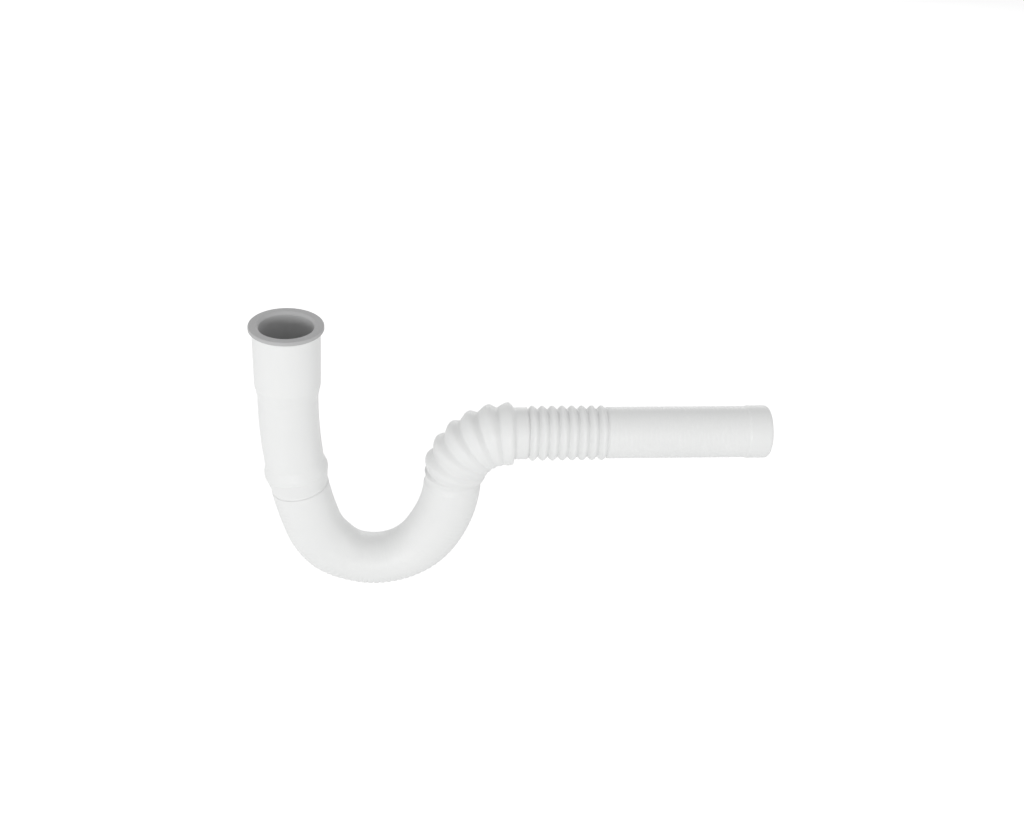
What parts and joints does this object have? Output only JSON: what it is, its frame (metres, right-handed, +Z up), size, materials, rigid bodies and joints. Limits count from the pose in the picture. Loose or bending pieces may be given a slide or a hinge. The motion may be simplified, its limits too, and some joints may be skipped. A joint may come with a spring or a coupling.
{
  "type": "flexible basin trap",
  "caption": "Flexible corrugated basin trap with a cupped inlet and rubber gasket, a bent water seal and a straight outlet spigot.",
  "frame": {"origin": "centre of the inlet cup's rim, in the bore of the gasket", "axes": "+Z up along the inlet bore, towards the basin; +X along the outlet, the way the water leaves"},
  "size_m": [0.3182, 0.044, 0.1828],
  "materials": {
    "hose_plastic": "satin moulded white polypropylene",
    "gasket_rubber": "grey moulded rubber"
  },
  "bodies": {
    "root": {"hose": "hose_plastic", "inlet_gasket": "gasket_rubber"}
  },
  "joints": []
}
